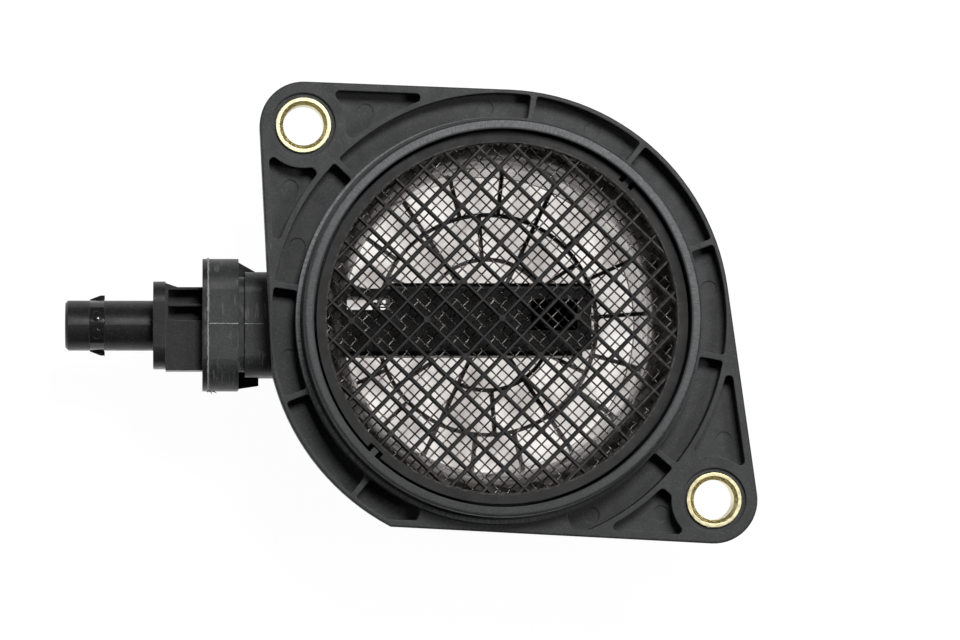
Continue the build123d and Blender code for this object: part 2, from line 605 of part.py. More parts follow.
def connector_shroud():
    """Oval tube that the mating plug goes over, hollow round the pins, with the latch's groove."""
    radius = TUBE[0] / 2 - PRESS_GAP
    tube = along(TUBE_X, COLLAR_X, RectangleRounded(*TUBE, radius))
    tube = chamfer(tube.faces().sort_by(Axis.X)[0].edges(), TUBE_LEAD_IN)
    bore = [side - 2 * TUBE_WALL for side in TUBE]
    tube -= along(TUBE_X, TUBE_X + SOCKET_DEPTH, RectangleRounded(*bore, radius - TUBE_WALL))
    return tube - latch_band(0.0)


def latch_band(gap):
    """Band round the shroud, as deep as the latch is thick."""
    start = TUBE_X + LATCH_FROM_END + gap
    end = TUBE_X + LATCH_FROM_END + LATCH_WIDTH - gap
    radius = TUBE[0] / 2 - PRESS_GAP
    inner = [side - 2 * LATCH_THICKNESS for side in TUBE]
    band = along(start, end, RectangleRounded(*TUBE, radius))
    return band - along(start, end, RectangleRounded(*inner, radius - LATCH_THICKNESS))


def connector_latch():
    """Spring band in the shroud's groove, with a raised tab above and below."""
    start = TUBE_X + LATCH_FROM_END + PRESS_GAP
    end = TUBE_X + LATCH_FROM_END + LATCH_WIDTH - PRESS_GAP
    foot = TUBE[0] / 2 - LATCH_THICKNESS / 2
    tip = TUBE[0] / 2 + LATCH_RISE
    side = make_face(Polyline(
        (start, foot), (end - LATCH_THICKNESS, foot), (end, tip - LATCH_BARB), (end, tip),
        (end - LATCH_BARB, tip), (start, foot + LATCH_THICKNESS), close=True,
    ))
    tab = Pos(0, PORT_Y, SENSOR_Z - LATCH_TAB / 2) * extrude(side, LATCH_TAB)
    return latch_band(PRESS_GAP) + tab + mirror(tab, Plane.XZ.offset(-PORT_Y))


def pin_places():
    """Height of each pin above the port's centre."""
    return [(index - (PIN_COUNT - 1) / 2) * PIN_PITCH for index in range(PIN_COUNT)]


def pin(height):
    """Straight flat-sided contact from the socket to the electronics chamber."""
    half = PIN_SIZE / 2
    return box_between(
        (TUBE_X + PIN_SHORT, PORT_Y - half, SENSOR_Z + height - half),
        (CHAMBER_X + INNER_MARGIN, PORT_Y + half, SENSOR_Z + height + half))


def sensor_body():
    """One moulding: plate, plug, probe, block, collar and connector shroud."""
    plate = along(PLATE_X, -PORT_FACE, RectangleRounded(*PORT_PAD, PORT_PAD_R))
    collar = along(COLLAR_X, BLOCK_X, RectangleRounded(*COLLAR, COLLAR_R))
    body = plate + plug() + rib_block() + collar + connector_shroud()
    body += probe() - probe_hollows()
    body += divider()
    for height in pin_places():
        body -= pin(height)
    return body


def circuit_cover():
    return cover_slab(CHAMBER_X, CHAMBER, COVER_GAP)


def bypass_cover():
    return cover_slab(CHANNEL_X, CHANNEL_BOX, COVER_GAP)


def carrier_plate():
    """Metal plate on the chamber's floor, with a tongue that holds the chip in the air stream."""
    plate = slab(CHAMBER_X, CHAMBER[0], CHAMBER[1], CARRIER_Y, CARRIER_THICKNESS, INNER_MARGIN)
    tongue_start = CHAMBER_X + CHAMBER[0] - INNER_MARGIN
    wall = CHANNEL_X - tongue_start
    return plate + slab(tongue_start, wall + TONGUE[0], TONGUE[1], CARRIER_Y, CARRIER_THICKNESS)


def circuit_board():
    """Ceramic board on the carrier."""
    margin = INNER_MARGIN + BOARD_MARGIN
    return slab(CHAMBER_X, CHAMBER[0], CHAMBER[1], BOARD_Y, BOARD_THICKNESS, margin)


def signal_processor():
    """Packaged chip on the board."""
    middle = CHAMBER_X + CHAMBER[0] / 2 - PROCESSOR[0] / 2
    return slab(middle, PROCESSOR[0], PROCESSOR[1], BOARD_Y - PROCESSOR[2], PROCESSOR[2])


def sensor_chip():
    """Heated film element at the end of the carrier's tongue."""
    end = CHANNEL_X + TONGUE[0] - COVER_GAP - CHIP[0]
    return slab(end, CHIP[0], CHIP[1], CARRIER_Y - CHIP[2], CHIP[2])


def potting_gel():
    """Soft fill that covers the board, round the chip package, up to the cover."""
    low = PROBE_LOW + COVER_THICKNESS + COVER_GAP
    high = BOARD_Y - PROCESSOR[2]
    return slab(CHAMBER_X, CHAMBER[0], CHAMBER[1], low, high - low - COVER_GAP, INNER_MARGIN + BOARD_MARGIN)


def thermistor():
    """Air-temperature bead that reaches into the window on two leads."""
    y = PORT_Y + WINDOW_Y
    z = SENSOR_Z - PROBE[1] / 4
    root = WINDOW[0] - WINDOW_FROM_AXIS
    lead = extrude(Plane.YZ * Circle(LEAD_R), LEAD_LENGTH)
    leads = [Pos(root - LEAD_LENGTH, y + side * LEAD_R * 2, z) * lead for side in (-1, 1)]
    return Pos(root - LEAD_LENGTH, y, z) * Sphere(BEAD_R) + leads


# ---- Export -----------------------------------------------------------------------------------
def build_nodes():
    places = bushing_places()
    nodes = {
        "housing": housing(),
        "bushing_left": bushing(places[0]),
        "bushing_right": bushing(places[1]),
        "inlet_grid": inlet_grid(),
        "inlet_screen": inlet_screen(),
        "outlet_grid": outlet_grid(),
        "sensor_body": sensor_body(),
        "port_seal": port_seal(),
        "connector_latch": connector_latch(),
        "circuit_cover": circuit_cover(),
        "bypass_cover": bypass_cover(),
        "carrier_plate": carrier_plate(),
        "circuit_board": circuit_board(),
        "signal_processor": signal_processor(),
        "sensor_chip": sensor_chip(),
        "potting_gel": potting_gel(),
        "thermistor": thermistor(),
    }
    for number, height in enumerate(pin_places(), start=1):
        nodes[f"connector_pin_{number}"] = pin(height)
    return nodes


for name, shape in build_nodes().items():
    export_step(shape, f"parts/{name}.step")
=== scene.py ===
"""Studio view of the mass airflow sensor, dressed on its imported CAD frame."""
import json
from math import cos, pi, radians, sin, sqrt

import bpy
from mathutils import Matrix, Vector, noise
from mathutils.bvhtree import BVHTree


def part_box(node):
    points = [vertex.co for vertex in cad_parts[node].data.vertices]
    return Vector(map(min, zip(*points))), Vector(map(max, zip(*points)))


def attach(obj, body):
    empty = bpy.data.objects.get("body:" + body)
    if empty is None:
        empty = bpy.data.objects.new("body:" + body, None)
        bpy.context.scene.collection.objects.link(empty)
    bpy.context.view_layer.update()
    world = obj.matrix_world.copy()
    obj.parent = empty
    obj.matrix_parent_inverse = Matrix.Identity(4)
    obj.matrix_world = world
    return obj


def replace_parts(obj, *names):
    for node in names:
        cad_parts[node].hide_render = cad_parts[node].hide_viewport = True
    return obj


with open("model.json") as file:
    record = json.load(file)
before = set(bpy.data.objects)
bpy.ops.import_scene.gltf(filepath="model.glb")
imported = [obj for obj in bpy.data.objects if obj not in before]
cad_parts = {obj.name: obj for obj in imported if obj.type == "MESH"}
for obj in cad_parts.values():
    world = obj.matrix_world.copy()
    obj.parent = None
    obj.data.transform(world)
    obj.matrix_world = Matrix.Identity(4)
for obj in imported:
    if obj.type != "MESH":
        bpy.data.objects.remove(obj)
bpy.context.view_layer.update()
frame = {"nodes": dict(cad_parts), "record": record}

MM = 0.001
nodes = frame["nodes"]

# Places on the part that its finishes and its painted highlights, shade and reflection follow, in metres.
# A ring is its inner radius and outer radius about the duct's axis, then the height it starts at.
CREST_RING = (36.5 * MM, 37.75 * MM, 70.6 * MM)
STEP_RING = (38.75 * MM, 39.5 * MM, 64.2 * MM)
GRILLE_FRAME_RING = (29.6 * MM, 34.0 * MM, 62.0 * MM)
BORE_REACH, BORE_TOP = 34.6 * MM, 63.3 * MM
THROAT_LOW, THROAT_HIGH = 30.0 * MM, 50.0 * MM
PROBE_ROOT_X = -31.0 * MM
OUTLET_GRILLE_TOP = 12.0 * MM
PORT_FAR_X, PORT_NEAR_X, PORT_HALF_WIDTH = -57.6 * MM, -44.2 * MM, 14.5 * MM

# Small pieces, in metres.
TUBE_SIDES = 6
BEAD_X, BEAD_INSET, BEAD_CORNER, BEAD_STEP = -0.0563, 0.1 * MM, 6.0 * MM, 0.4 * MM
SEAM_STEP, SEAM_THINNEST = 0.3 * MM, 0.02 * MM
LUG_OFFSET, LUG_HALF_X, LUG_HALF_Y = 1.75 * MM, 0.95 * MM, 1.25 * MM
LUG_CROWN_MM, LUG_SUNK_MM = 0.16, 0.05

# The sheet under the part, in metres and linear colour.
FLOOR_HALF, FLOOR_DROP = 1.5, 0.0002
FLOOR_SHADE, FLOOR_WHITE = 0.12, 0.97
DUCT_SHADE_R = 32.0 * MM


# ---- Node trees --------------------------------------------------------------------------------
class Finish:
    """A material and short ways to add nodes to it."""

    def __init__(self, name):
        self.material = bpy.data.materials.new(name)
        self.material.use_nodes = True
        self.tree = self.material.node_tree
        self.shader = self.tree.nodes["Principled BSDF"]
        self.place = self.add("ShaderNodeTexCoord").outputs["Object"]

    def add(self, kind, **settings):
        node = self.tree.nodes.new(kind)
        for name, value in settings.items():
            setattr(node, name, value)
        return node

    def feed(self, socket, value):
        if isinstance(value, bpy.types.NodeSocket):
            self.tree.links.new(value, socket)
        else:
            socket.default_value = value

    def math(self, operation, *values, clamp=False):
        node = self.add("ShaderNodeMath", operation=operation, use_clamp=clamp)
        for socket, value in zip(node.inputs, values):
            self.feed(socket, value)
        return node.outputs[0]

    def noise(self, size, detail=2.0, roughness=0.5):
        """Noise whose features are about this many millimetres across."""
        node = self.add("ShaderNodeTexNoise")
        self.feed(node.inputs["Vector"], self.place)
        node.inputs["Scale"].default_value = 1.0 / (size * MM)
        node.inputs["Detail"].default_value = detail
        node.inputs["Roughness"].default_value = roughness
        return node.outputs["Fac"]

    def span(self, value, low, high, to_low=0.0, to_high=1.0):
        """Carries a value from one range into another, held at its ends."""
        node = self.add("ShaderNodeMapRange", clamp=True)
        for socket, number in zip(node.inputs, (value, low, high, to_low, to_high)):
            self.feed(socket, number)
        return node.outputs[0]

    def blend(self, amount, first, second):
        node = self.add("ShaderNodeMix", data_type="RGBA")
        self.feed(node.inputs["Factor"], amount)
        for socket, colour in ((node.inputs[6], first), (node.inputs[7], second)):
            self.feed(socket, colour if isinstance(colour, bpy.types.NodeSocket) else (*colour, 1.0))
        return node.outputs[2]

    def axis(self, name):
        split = self.add("ShaderNodeSeparateXYZ")
        self.feed(split.inputs[0], self.place)
        return split.outputs[name]

    def distance_from_axis(self):
        return self.math("SQRT", self.math(
            "ADD", self.math("POWER", self.axis("X"), 2.0), self.math("POWER", self.axis("Y"), 2.0)))

    def faces_axis(self):
        """1 where the surface faces the duct's axis."""
        facing = self.add("ShaderNodeSeparateXYZ")
        self.feed(facing.inputs[0], self.add("ShaderNodeNewGeometry").outputs["True Normal"])
        outward = self.math("ADD", self.math("MULTIPLY", facing.outputs["X"], self.axis("X")),
                            self.math("MULTIPLY", facing.outputs["Y"], self.axis("Y")))
        return self.math("LESS_THAN", outward, 0.0)

    def spokes(self, count, size):
        """Noise along the duct's radii: this many features a radian, this long in millimetres."""
        turn = self.math("MULTIPLY", self.math("ARCTAN2", self.axis("Y"), self.axis("X")), count)
        spot = self.add("ShaderNodeCombineXYZ")
        self.feed(spot.inputs[0], turn)
        self.feed(spot.inputs[1], self.math("DIVIDE", self.distance_from_axis(), size * MM))
        node = self.add("ShaderNodeTexNoise")
        self.feed(node.inputs["Vector"], spot.outputs[0])
        node.inputs["Scale"].default_value = 1.0
        node.inputs["Detail"].default_value = 3.0
        return node.outputs["Fac"]

    def edges(self, radius):
        """0 on flat faces, up to 1 at edges, and the softened normal."""
        bevel = self.add("ShaderNodeBevel", samples=6)
        bevel.inputs["Radius"].default_value = radius * MM
        flat = self.add("ShaderNodeNewGeometry").outputs["True Normal"]
        dot = self.add("ShaderNodeVectorMath", operation="DOT_PRODUCT")
        self.feed(dot.inputs[0], bevel.outputs[0])
        self.feed(dot.inputs[1], flat)
        return self.math("SUBTRACT", 1.0, dot.outputs["Value"]), bevel.outputs[0]

    def bump(self, height, depth, strength, normal):
        node = self.add("ShaderNodeBump")
        self.feed(node.inputs["Height"], height)
        node.inputs["Distance"].default_value = depth * MM
        node.inputs["Strength"].default_value = strength
        self.feed(node.inputs["Normal"], normal)
        return node.outputs[0]

    def set(self, **values):
        names = {"colour": "Base Color", "roughness": "Roughness", "normal": "Normal", "metallic": "Metallic",
                 "specular": "Specular IOR Level", "coat": "Coat Weight",
                 "transmission": "Transmission Weight"}
        for name, value in values.items():
            self.feed(self.shader.inputs[names[name]], value)
        return self.material


def grey(value, tint=(1.0, 1.0, 1.0)):
    return tuple(value * part for part in tint)


def ring_mask(finish, inner, outer, low):
    """1 in a ring round the duct's axis, above a height."""
    radius = finish.distance_from_axis()
    inside = finish.math("MULTIPLY", finish.math("GREATER_THAN", radius, inner),
                         finish.math("LESS_THAN", radius, outer))
    return finish.math("MULTIPLY", inside, finish.math("GREATER_THAN", finish.axis("Z"), low))


def port_scuffs(finish):
    """Amount of fine rubbed streaks across the port's pad and neck."""
    scuff = finish.add("ShaderNodeMapping")
    finish.feed(scuff.inputs["Vector"], finish.place)
    scuff.inputs["Scale"].default_value = (2600, 260, 260)
    marks = finish.add("ShaderNodeTexNoise")
    finish.feed(marks.inputs["Vector"], scuff.outputs[0])
    marks.inputs["Scale"].default_value = 1.0
    marks.inputs["Detail"].default_value = 4.0
    port = finish.math("MULTIPLY", finish.math("LESS_THAN", finish.axis("X"), PORT_NEAR_X),
                       finish.math("GREATER_THAN", finish.axis("X"), PORT_FAR_X))
    port = finish.math("MULTIPLY", port, finish.math(
        "LESS_THAN", finish.math("ABSOLUTE", finish.axis("Y")), PORT_HALF_WIDTH))
    streaks = finish.math("MULTIPLY", finish.span(marks.outputs["Fac"], 0.52, 0.68),
                          finish.span(finish.noise(4.0, 2.0), 0.48, 0.64))
    return finish.math("MULTIPLY", finish.math("MULTIPLY", streaks, port), 0.5)


def moulded(name, shade, tint, rough, grain, edge, edge_shade, housing=False, probe=False, grille=False):
    """Moulded plastic: eroded grain, flow mottling, specks, pores and paler rubbed edges; on the housing,
    probe and grille also painted highlights, shade and reflection.
    """
    finish = Finish(name)
    mottle = finish.span(finish.noise(9.0, 3.0), 0.35, 0.65)
    fine = finish.noise(0.30, 3.0, 0.65)
    speck = finish.span(finish.noise(0.5, 2.0), 0.53, 0.70)
    body = finish.blend(mottle, grey(shade * 0.88, tint), grey(shade * 1.12, tint))
    body = finish.blend(finish.math("MULTIPLY", speck, 0.60), body, grey(shade * 2.2, tint))
    pores = finish.span(finish.noise(0.42, 2.0), 0.30, 0.48, 0.45, 0.0)
    body = finish.blend(pores, body, grey(shade * 0.35, tint))
    wear, soft = finish.edges(edge)
    broken = finish.span(finish.noise(1.3, 3.0, 0.7), 0.3, 0.62, 0.25, 1.0)
    rubbed = finish.math("MULTIPLY", finish.span(wear, 0.02, 0.22), broken)
    colour = finish.blend(rubbed, body, grey(edge_shade, tint))
    roughness = finish.span(finish.noise(2.6, 3.0), 0.3, 0.7, rough - 0.06, rough + 0.06)
    height = fine
    if housing or probe:
        colour = finish.blend(port_scuffs(finish), colour, grey(0.30))
    if grille:
        # Upward faces of the outlet grille painted pale warm grey: painted light falling on their tops.
        facing = finish.add("ShaderNodeSeparateXYZ")
        finish.feed(facing.inputs[0], finish.add("ShaderNodeNewGeometry").outputs["True Normal"])
        up_faces_painted_light = finish.math("MULTIPLY", finish.math("LESS_THAN", finish.axis("Z"), OUTLET_GRILLE_TOP),
                            finish.math("GREATER_THAN", facing.outputs["Z"], 0.5))
        up_faces_painted_light = finish.math("MULTIPLY", up_faces_painted_light, finish.span(finish.noise(3.0, 3.0), 0.3, 0.7, 0.5, 1.0))
        colour = finish.blend(up_faces_painted_light, colour, (0.60, 0.56, 0.52))
        frame_ring = ring_mask(finish, *GRILLE_FRAME_RING)
        ragged = finish.span(finish.noise(0.9, 4.0, 0.7), 0.46, 0.66)
        colour = finish.blend(finish.math("MULTIPLY", finish.math("MULTIPLY", frame_ring, ragged), 0.6),
                              colour, (0.16, 0.15, 0.14))
    if probe:
        # The probe's length inside the duct is painted almost black: painted shade inside the dim duct.
        inside = finish.math("GREATER_THAN", finish.axis("X"), PROBE_ROOT_X)
        colour = finish.blend(finish.math("MULTIPLY", inside, 0.95), colour, grey(0.001))
    if housing:
        streaks = finish.span(finish.spokes(130.0, 1.2), 0.3, 0.7, 0.35, 1.0)
        # Pale band on the lip's crest: rubbed streaks plus a painted highlight, brighter towards +X and +Y.
        crest_wear_and_highlight = finish.math("MULTIPLY", ring_mask(finish, *CREST_RING), streaks)
        rise = finish.math("ADD", finish.math("MULTIPLY", finish.axis("X"), 0.3), finish.axis("Y"))
        crest_wear_and_highlight = finish.math("MULTIPLY", crest_wear_and_highlight, finish.span(rise, -36.0 * MM, 30.0 * MM, 0.05, 0.8))
        colour = finish.blend(crest_wear_and_highlight, colour, grey(0.30, (0.97, 1.0, 1.03)))
        # Pale line on the lip's outer step, fading towards +X: painted highlight, with rubbed streaks.
        step_highlight_and_wear = finish.math("MULTIPLY", ring_mask(finish, *STEP_RING), streaks)
        fade = finish.span(finish.axis("X"), -35.0 * MM, 20.0 * MM, 1.0, 0.1)
        step_highlight_and_wear = finish.math("MULTIPLY", step_highlight_and_wear, fade)
        colour = finish.blend(step_highlight_and_wear, colour, grey(0.38, (0.97, 1.0, 1.03)))
        inside = finish.math("MULTIPLY",
                             finish.math("LESS_THAN", finish.distance_from_axis(), BORE_REACH),
                             finish.math("LESS_THAN", finish.axis("Z"), BORE_TOP))
        inside = finish.math("MULTIPLY", inside, finish.faces_axis())
        roughness = finish.math("SUBTRACT", roughness, finish.math("MULTIPLY", inside, rough - 0.14))
        grained = finish.math("SUBTRACT", 1.0, finish.math("MULTIPLY", inside, 0.99))
        height = finish.math("MULTIPLY", fine, grained)
        # Paler warm patches on the bore's upper wall: painted reflection of the pale sheet below.
        throat_painted_reflection = finish.math("MULTIPLY", inside, finish.span(finish.axis("Z"), THROAT_LOW, THROAT_HIGH))
        patches = finish.span(finish.noise(5.0, 3.0), 0.40, 0.58, 0.25, 1.0)
        colour = finish.blend(finish.math("MULTIPLY", throat_painted_reflection, patches), colour, (0.40, 0.365, 0.34))
    normal = finish.bump(height, grain, 0.55, soft)
    return finish.set(colour=colour, roughness=roughness, normal=normal, specular=0.33 if probe else 0.5)


def turned_metal(name, base, tarnish, rough, axis_scale):
    """Metal with fine lay marks across one direction, mottled film and worn edges."""
    finish = Finish(name)
    stretch = finish.add("ShaderNodeMapping")
    finish.feed(stretch.inputs["Vector"], finish.place)
    stretch.inputs["Scale"].default_value = axis_scale
    lay = finish.add("ShaderNodeTexNoise")
    finish.feed(lay.inputs["Vector"], stretch.outputs[0])
    lay.inputs["Scale"].default_value = 1.0
    lay.inputs["Detail"].default_value = 3.0
    film = finish.span(finish.noise(1.9, 4.0, 0.65), 0.36, 0.66)
    colour = finish.blend(film, base, tarnish)
    wear, soft = finish.edges(0.2)
    worn = tuple(min(1.0, part * 1.25) for part in base)
    colour = finish.blend(finish.span(wear, 0.05, 0.4, 0.0, 0.6), colour, worn)
    roughness = finish.span(lay.outputs["Fac"], 0.3, 0.7, rough - 0.07, rough + 0.09)
    normal = finish.bump(lay.outputs["Fac"], 0.003, 0.5, soft)
    return finish.set(colour=colour, roughness=roughness, normal=normal, metallic=1.0)


def soft_fill(name, colour, second, rough, depth, **more):
    """Smooth material with a slight mottle and a shallow ripple."""
    finish = Finish(name)
    shade = finish.blend(finish.span(finish.noise(1.4, 3.0), 0.35, 0.65), colour, second)
    roughness = finish.span(finish.noise(0.8, 2.0), 0.3, 0.7, rough - 0.05, rough + 0.07)
    normal = finish.bump(finish.noise(0.35, 2.0), depth, 0.4, finish.edges(0.12)[1])
    return finish.set(colour=shade, roughness=roughness, normal=normal, **more)


PLAIN = (1.0, 1.0, 1.0)
WARM = (1.04, 1.0, 0.97)
COOL = (0.97, 1.0, 1.02)
materials = {
    "housing_plastic": moulded("housing_plastic", 0.040, COOL, 0.50, 0.06, 0.30, 0.15, housing=True),
    "grid_plastic": moulded("grid_plastic", 0.013, WARM, 0.58, 0.03, 0.12, 0.10, grille=True),
    "sensor_plastic": moulded("sensor_plastic", 0.026, PLAIN, 0.38, 0.04, 0.22, 0.14, probe=True),
    "latch_plastic": moulded("latch_plastic", 0.020, PLAIN, 0.17, 0.01, 0.15, 0.08),
    "seal_rubber": soft_fill("seal_rubber", grey(0.020), grey(0.028), 0.7, 0.03),
    "screen_wire": turned_metal(
        "screen_wire", (0.22, 0.21, 0.195), (0.12, 0.115, 0.105), 0.30, (3e3, 3e3, 3e3)),
    "bushing_steel": turned_metal(
        "bushing_steel", (0.94, 0.87, 0.57), (0.85, 0.77, 0.46), 0.34, (900, 900, 2500)),
    "carrier_aluminium": turned_metal(
        "carrier_aluminium", (0.70, 0.70, 0.71), (0.58, 0.58, 0.60), 0.35, (300, 6e3, 9e3)),
    "pin_tin": turned_metal("pin_tin", (0.78, 0.77, 0.73), (0.62, 0.60, 0.55), 0.3, (300, 7e3, 7e3)),
    "board_ceramic": soft_fill("board_ceramic", (0.84, 0.83, 0.78), (0.78, 0.77, 0.71), 0.55, 0.01),
    "chip_package": soft_fill("chip_package", grey(0.030), grey(0.045), 0.5, 0.01),
    "silicon": soft_fill("silicon", (0.20, 0.22, 0.28), (0.26, 0.27, 0.33), 0.12, 0.002, metallic=0.8),
    "gel": soft_fill("gel", (0.55, 0.56, 0.52), (0.50, 0.51, 0.47), 0.15, 0.02, transmission=0.6),
    "thermistor_glass": soft_fill(
        "thermistor_glass", (0.20, 0.08, 0.04), (0.28, 0.12, 0.06), 0.14, 0.004, coat=0.6),
    "seam_wear": moulded("seam_wear", 0.34, PLAIN, 0.40, 0.05, 0.1, 0.55),
}
for row in frame["record"]["subparts"]:
    mesh = nodes[row["node"]].data
    mesh.materials.clear()
    mesh.materials.append(materials[row["material_slot"]])


# ---- Mesh pieces -------------------------------------------------------------------------------
def piece(name, points, faces, slot):
    """A smooth mesh object in the object's frame, riding on its one body."""
    mesh = bpy.data.meshes.new(name)
    mesh.from_pydata(points, [], faces)
    mesh.update()
    mesh.polygons.foreach_set("use_smooth", [True] * len(mesh.polygons))
    mesh.materials.append(materials[slot])
    made = bpy.data.objects.new(name, mesh)
    bpy.context.scene.collection.objects.link(made)
    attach(made, "root")
    return made


def sweep(path, radii, sides, points, faces, closed=False):
    """Round tube through the points of a path, added to a list of points and faces."""
    start, count = len(points), len(path)
    for index, here in enumerate(path):
        ahead = path[(index + 1) % count] if closed or index < count - 1 else here
        behind = path[index - 1] if closed or index else here
        along = (ahead - behind).normalized()
        side = along.cross(Vector((0, 0, 1)))
        side = side.normalized() if side.length > 1e-6 else Vector((1, 0, 0))
        over = side.cross(along)
        for turn in range(sides):
            angle = 2 * pi * turn / sides
            points.append(here + (side * cos(angle) + over * sin(angle)) * radii[index])
    for index in range(count if closed else count - 1):
        low, high = start + index * sides, start + (index + 1) % count * sides
        for turn in range(sides):
            right = (turn + 1) % sides
            faces.append((low + turn, low + right, high + right, high + turn))
    if not closed:
        faces.append(tuple(start + turn for turn in range(sides)))
        faces.append(tuple(start + (count - 1) * sides + turn for turn in reversed(range(sides))))


WIRE_PITCH = 1.72 * MM
WIRE_R = 0.15 * MM
SCREEN_TURN = radians(46.1)


def woven_screen():
    """Plain-weave wire cloth, each wire over one and under the next."""
    low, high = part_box("inlet_screen")
    radius = (high.x - low.x) / 2 - WIRE_R
    middle = (low.z + high.z) / 2
    count = int(radius / WIRE_PITCH)
    points, faces = [], []
    for direction in (0, 1):
        for row in range(-count, count + 1):
            across = row * WIRE_PITCH
            half = sqrt(radius ** 2 - across ** 2)
            steps = max(6, int(3 * 2 * half / WIRE_PITCH))
            path = []
            for step in range(steps + 1):
                run = -half + 2 * half * step / steps
                lift = WIRE_R * cos(pi * run / WIRE_PITCH) * (1 if (row + direction) % 2 else -1)
                drift = 0.05 * WIRE_PITCH * noise.noise(Vector((row * 3.1, run * 90, direction * 7.7)))
                flat = (run, across + drift) if direction else (across + drift, run)
                turned = Matrix.Rotation(SCREEN_TURN, 2) @ Vector(flat)
                path.append(Vector((turned.x, turned.y, middle + lift)))
            sweep(path, [WIRE_R] * len(path), TUBE_SIDES, points, faces)
    return piece("wire_screen", points, faces, "screen_wire")


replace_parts(woven_screen(), "inlet_screen")


def rounded_loop(centre, width, height, corner, per_corner):
    """Points round a rectangle with round corners, in the plane across X."""
    loop = []
    for quarter in range(4):
        side = 1 if quarter in (0, 3) else -1
        rise = 1 if quarter in (0, 1) else -1
        middle = (centre.y + side * (width / 2 - corner), centre.z + rise * (height / 2 - corner))
        for step in range(per_corner + 1):
            angle = pi / 2 * (quarter + step / per_corner)
            loop.append(Vector((centre.x, middle[0] + corner * cos(angle), middle[1] + corner * sin(angle))))
    return loop


def spread(loop, gap):
    """More points along a closed loop, about a gap apart."""
    out = []
    for here, ahead in zip(loop, loop[1:] + loop[:1]):
        count = max(1, int((ahead - here).length / gap))
        out += [here.lerp(ahead, step / count) for step in range(count)]
    return out


def weld_flash():
    """Ragged bead squeezed out between the sensor's plate and the pad."""
    low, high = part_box("sensor_body")
    width, height = high.y - low.y - BEAD_INSET, high.z - low.z - BEAD_INSET
    centre = Vector((BEAD_X, (low.y + high.y) / 2, (low.z + high.z) / 2))
    path = spread(rounded_loop(centre, width, height, BEAD_CORNER, per_corner=8), BEAD_STEP)
    radii = []
    for point in path:
        rough = noise.noise(point * 900) + 0.6 * noise.noise(point * 2600)
        point.x += 0.10 * MM * noise.noise(point * 1700 + Vector((5, 0, 0)))
        radii.append((0.23 + 0.10 * rough) * MM)
    points, faces = [], []
    sweep(path, radii, TUBE_SIDES, points, faces, closed=True)
    piece("weld_flash", points, faces, "seam_wear")


def seam(name, start, end, radius):
    """Low broken ridge along a mould's parting line."""
    count = int((end - start).length / SEAM_STEP)
    path, radii = [], []
    for step in range(count + 1):
        point = start.lerp(end, step / count)
        ragged = noise.noise(point * 1500) + 0.7 * noise.noise(point * 4100)
        point.y += 0.05 * MM * ragged
        path.append(point)
        radii.append(max(SEAM_THINNEST, radius * (1 + 0.7 * ragged)))
    points, faces = [], []
    sweep(path, radii, TUBE_SIDES, points, faces)
    piece(name, points, faces, "seam_wear")


def flash_tufts():
    """Three slivers of flash left at the plate's lower edge."""
    low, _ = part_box("sensor_body")
    edge = low.y
    points, faces = [], []
    slivers = (((-56.2, 35.0), (0.7, -0.75)), ((-55.9, 33.5), (1.3, -0.55)), ((-56.4, 38.0), (-0.1, -0.4)))
    for start, reach in slivers:
        foot = Vector((start[0] * MM, edge + 0.1 * MM, start[1] * MM))
        tip = foot + Vector((reach[0] * MM, reach[1] * MM, 0.3 * MM))
        bend = foot.lerp(tip, 0.5) + Vector((0.12 * MM, 0.05 * MM, 0))
        sweep([foot, bend, tip], [0.16 * MM, 0.11 * MM, 0.04 * MM], TUBE_SIDES, points, faces)
    piece("flash_tufts", points, faces, "sensor_plastic")


def latch_lugs():
    """Two glossy oval lugs that stand through the latch band on the side towards the inlet."""
    mesh = nodes["connector_latch"].data
    band = BVHTree.FromPolygons([tuple(vertex.co) for vertex in mesh.vertices],
                                [tuple(face.vertices) for face in mesh.polygons])
    low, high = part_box("connector_latch")
    middle = Vector(((low.x + high.x) / 2, (low.y + high.y) / 2))
    rings, sides = 4, 20
    for name, across in (("latch_lug_upper", LUG_OFFSET), ("latch_lug_lower", -LUG_OFFSET)):
        points, faces = [], []

        def lay(ring, turn):
            angle, reach = 2 * pi * turn / sides, ring / rings
            spot = Vector((middle.x + LUG_HALF_X * reach * cos(angle),
                           middle.y + across + LUG_HALF_Y * reach * sin(angle), high.z + 0.01))
            hit, normal, _, _ = band.ray_cast(spot, Vector((0, 0, -1)))
            points.append(hit + normal * (LUG_CROWN_MM * (1 - reach ** 2) - LUG_SUNK_MM) * MM)

        lay(0, 0)
        for ring in range(1, rings + 1):
            for turn in range(sides):
                lay(ring, turn)
        faces += [(0, 1 + turn, 1 + (turn + 1) % sides) for turn in range(sides)]
        for ring in range(rings - 1):
            near, far = 1 + ring * sides, 1 + (ring + 1) * sides
            for turn in range(sides):
                ahead = (turn + 1) % sides
                faces.append((near + turn, far + turn, far + ahead, near + ahead))
        outer = 1 + (rings - 1) * sides
        faces.append(tuple(outer + turn for turn in reversed(range(sides))))
        piece(name, points, faces, "latch_plastic")


weld_flash()
flash_tufts()
latch_lugs()
seam("pad_seam", Vector((-0.0561, -0.00075, 0.05203)), Vector((-0.0504, -0.0008, 0.05203)), 0.12 * MM)
seam("neck_seam", Vector((-0.0492, -0.0008, 0.05152)), Vector((-0.0455, -0.0008, 0.05152)), 0.09 * MM)


